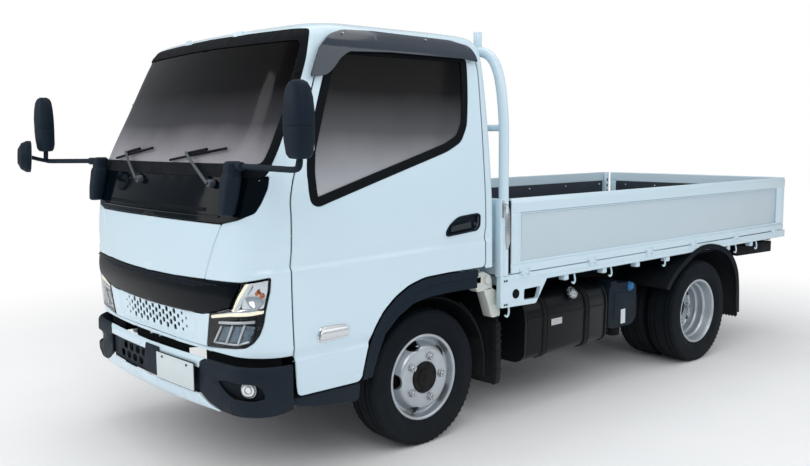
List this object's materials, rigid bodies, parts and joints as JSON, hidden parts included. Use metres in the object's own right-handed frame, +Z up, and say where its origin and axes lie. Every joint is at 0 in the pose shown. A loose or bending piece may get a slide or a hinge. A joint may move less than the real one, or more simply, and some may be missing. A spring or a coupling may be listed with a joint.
{
  "type": "flatbed truck",
  "caption": "Light cab-over flatbed truck with a tilting cab, opening doors, steered front wheels, twin rear wheels and three drop-down bed gates.",
  "frame": {"origin": "on the ground, under the middle of the truck's bounding box", "axes": "+X to the truck's left side, +Y to its rear, +Z up; the cab's front faces -Y"},
  "size_m": [2.4317, 5.1063, 2.11],
  "materials": {
    "white_paint": "gloss",
    "black_plastic": "matt",
    "gloss_black": "gloss",
    "chassis_black": "satin",
    "tyre_rubber": "matt",
    "mud_flap_rubber": "matt",
    "silver_steel": "satin",
    "cast_iron": "matt",
    "tank_paint": "satin",
    "dark_glass": "gloss",
    "lamp_glass": "gloss",
    "floor_grey": "matt",
    "seat_cloth": "matt",
    "milky_plastic": "satin"
  },
  "bodies": {
    "chassis": {"chassis_frame": "chassis_black", "front_axle_and_springs": "cast_iron", "rear_axle_and_springs": "cast_iron", "engine_block": "cast_iron", "gearbox_and_shaft": "cast_iron", "fuel_tank": "tank_paint", "additive_tank": "black_plastic", "reservoirs": "milky_plastic", "battery_box": "black_plastic", "silencer": "silver_steel", "front_mud_flap_left": "mud_flap_rubber", "front_mud_flap_right": "mud_flap_rubber", "rear_mudguard_left": "black_plastic", "rear_mudguard_right": "black_plastic", "front_bumper": "black_plastic", "bed_floor": "floor_grey", "headboard_frame": "white_paint", "rear_bar_and_lamps": "chassis_black"},
    "cab": {"cab_shell": "white_paint", "front_panel": "white_paint", "cowl_panel": "gloss_black", "windscreen": "dark_glass", "rear_window": "dark_glass", "grille": "white_paint", "headlamp_left": "lamp_glass", "headlamp_right": "lamp_glass", "arch_trim_left": "black_plastic", "arch_trim_right": "black_plastic", "cab_floor": "chassis_black", "dashboard": "black_plastic", "seat_left": "seat_cloth", "seat_right": "seat_cloth", "steering_wheel": "black_plastic", "mirror_left": "black_plastic", "mirror_right": "black_plastic"},
    "left_door": {"door_left": "white_paint", "door_glass_left": "dark_glass"},
    "right_door": {"door_right": "white_paint", "door_glass_right": "dark_glass"},
    "left_knuckle": {"steering_knuckle_left": "cast_iron"},
    "right_knuckle": {"steering_knuckle_right": "cast_iron"},
    "track_rod": {"tie_rod": "cast_iron"},
    "front_left_wheel": {"rim_front_left": "silver_steel", "tyre_front_left": "tyre_rubber"},
    "front_right_wheel": {"rim_front_right": "silver_steel", "tyre_front_right": "tyre_rubber"},
    "rear_left_wheels": {"rim_rear_left": "silver_steel", "tyre_rear_outer_left": "tyre_rubber", "tyre_rear_inner_left": "tyre_rubber"},
    "rear_right_wheels": {"rim_rear_right": "silver_steel", "tyre_rear_outer_right": "tyre_rubber", "tyre_rear_inner_right": "tyre_rubber"},
    "left_gate": {"side_gate_left": "white_paint"},
    "right_gate": {"side_gate_right": "white_paint"},
    "tail_gate": {"tail_gate": "white_paint"}
  },
  "joints": [
    {"name": "cab_tilt", "type": "hinge", "parent": "chassis", "child": "cab", "pos_m": [0, -2.166, 0.64], "axis": [1, 0, 0], "range_deg": [0, 45]},
    {"name": "left_door_swing", "type": "hinge", "parent": "cab", "child": "left_door", "pos_m": [0.845, -2.055, 1], "axis": [0, 0, -1], "range_deg": [0, 70]},
    {"name": "right_door_swing", "type": "hinge", "parent": "cab", "child": "right_door", "pos_m": [-0.845, -2.055, 1], "axis": [0, 0, 1], "range_deg": [0, 70]},
    {"name": "left_steer", "type": "hinge", "parent": "chassis", "child": "left_knuckle", "pos_m": [0.6, -1.221, 0.348], "axis": [0, 0, 1], "range_deg": [-35, 35]},
    {"name": "right_steer", "type": "hinge", "parent": "chassis", "child": "right_knuckle", "pos_m": [-0.6, -1.221, 0.348], "axis": [0, 0, 1], "range_deg": [-35, 35]},
    {"name": "track_rod_pivot", "type": "hinge", "parent": "left_knuckle", "child": "track_rod", "pos_m": [0.6, -1.096, 0.2724], "axis": [0, 0, 1], "range_deg": [-35, 35]},
    {"name": "front_left_wheel_spin", "type": "hinge", "parent": "left_knuckle", "child": "front_left_wheel", "pos_m": [0.671, -1.221, 0.348], "axis": [1, 0, 0], "continuous": true},
    {"name": "front_right_wheel_spin", "type": "hinge", "parent": "right_knuckle", "child": "front_right_wheel", "pos_m": [-0.671, -1.221, 0.348], "axis": [1, 0, 0], "continuous": true},
    {"name": "rear_left_wheel_spin", "type": "hinge", "parent": "chassis", "child": "rear_left_wheels", "pos_m": [0.75, 1.284, 0.348], "axis": [1, 0, 0], "continuous": true},
    {"name": "rear_right_wheel_spin", "type": "hinge", "parent": "chassis", "child": "rear_right_wheels", "pos_m": [-0.75, 1.284, 0.348], "axis": [1, 0, 0], "continuous": true},
    {"name": "left_gate_drop", "type": "hinge", "parent": "chassis", "child": "left_gate", "pos_m": [0.847, 0.779, 0.816], "axis": [0, 1, 0], "range_deg": [0, 170]},
    {"name": "right_gate_drop", "type": "hinge", "parent": "chassis", "child": "right_gate", "pos_m": [-0.847, 0.779, 0.816], "axis": [0, -1, 0], "range_deg": [0, 170]},
    {"name": "tail_gate_drop", "type": "hinge", "parent": "chassis", "child": "tail_gate", "pos_m": [0, 2.554, 0.816], "axis": [-1, 0, 0], "range_deg": [0, 170]}
  ],
  "couplings": [
    {"joint": "right_steer", "follows": "left_steer", "ratio": 1},
    {"joint": "track_rod_pivot", "follows": "left_steer", "ratio": -1}
  ]
}
